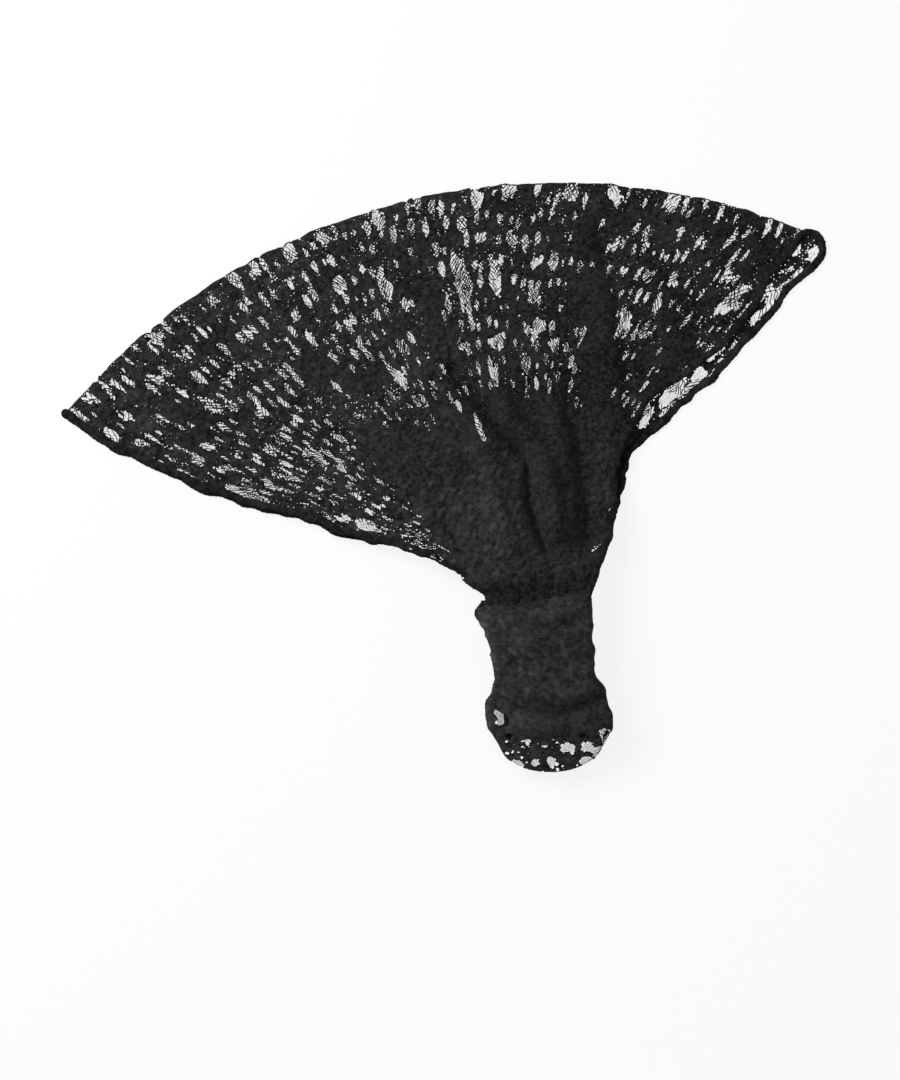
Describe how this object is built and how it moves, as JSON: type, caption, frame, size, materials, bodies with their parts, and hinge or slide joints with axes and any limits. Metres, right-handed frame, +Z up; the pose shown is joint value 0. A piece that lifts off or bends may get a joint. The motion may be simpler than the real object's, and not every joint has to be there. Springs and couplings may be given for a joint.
{
  "type": "lace headband",
  "caption": "Wide black lace headband, a closed loop laid flat: a folded lace panel spread into a fan, gathered at both ends into a lace casing that hides a flat elastic at the nape.",
  "frame": {"origin": "under the middle of the laid band's plan, on the surface that it lies on", "axes": "+X along the spread panel towards its right tip, +Y from the nape towards the crown fold, +Z up from the table"},
  "size_m": [0.3278, 0.2466, 0.0181],
  "materials": {
    "lace": "matte fuzzy openwork lace",
    "hem": "matte rolled and overlocked edge",
    "casing_lace": "matte ruched lace",
    "elastic": "ribbed woven elastic",
    "thread": "sewing thread"
  },
  "bodies": {
    "crown": {"back_lace_layer": "lace", "front_lace_layer": "lace", "left_hem": "hem", "right_hem": "hem", "front_join_stitching": "thread", "back_join_stitching": "thread"},
    "nape": {"nape_casing": "casing_lace", "nape_elastic": "elastic", "casing_seam": "thread"}
  },
  "joints": [
    {"name": "elastic_stretch", "type": "slide", "parent": "crown", "child": "nape", "axis": [0, -1, 0], "range_m": [0, 0.045], "stiffness_N_per_m": 180, "deforming": ["nape_casing", "nape_elastic", "casing_seam"]}
  ]
}
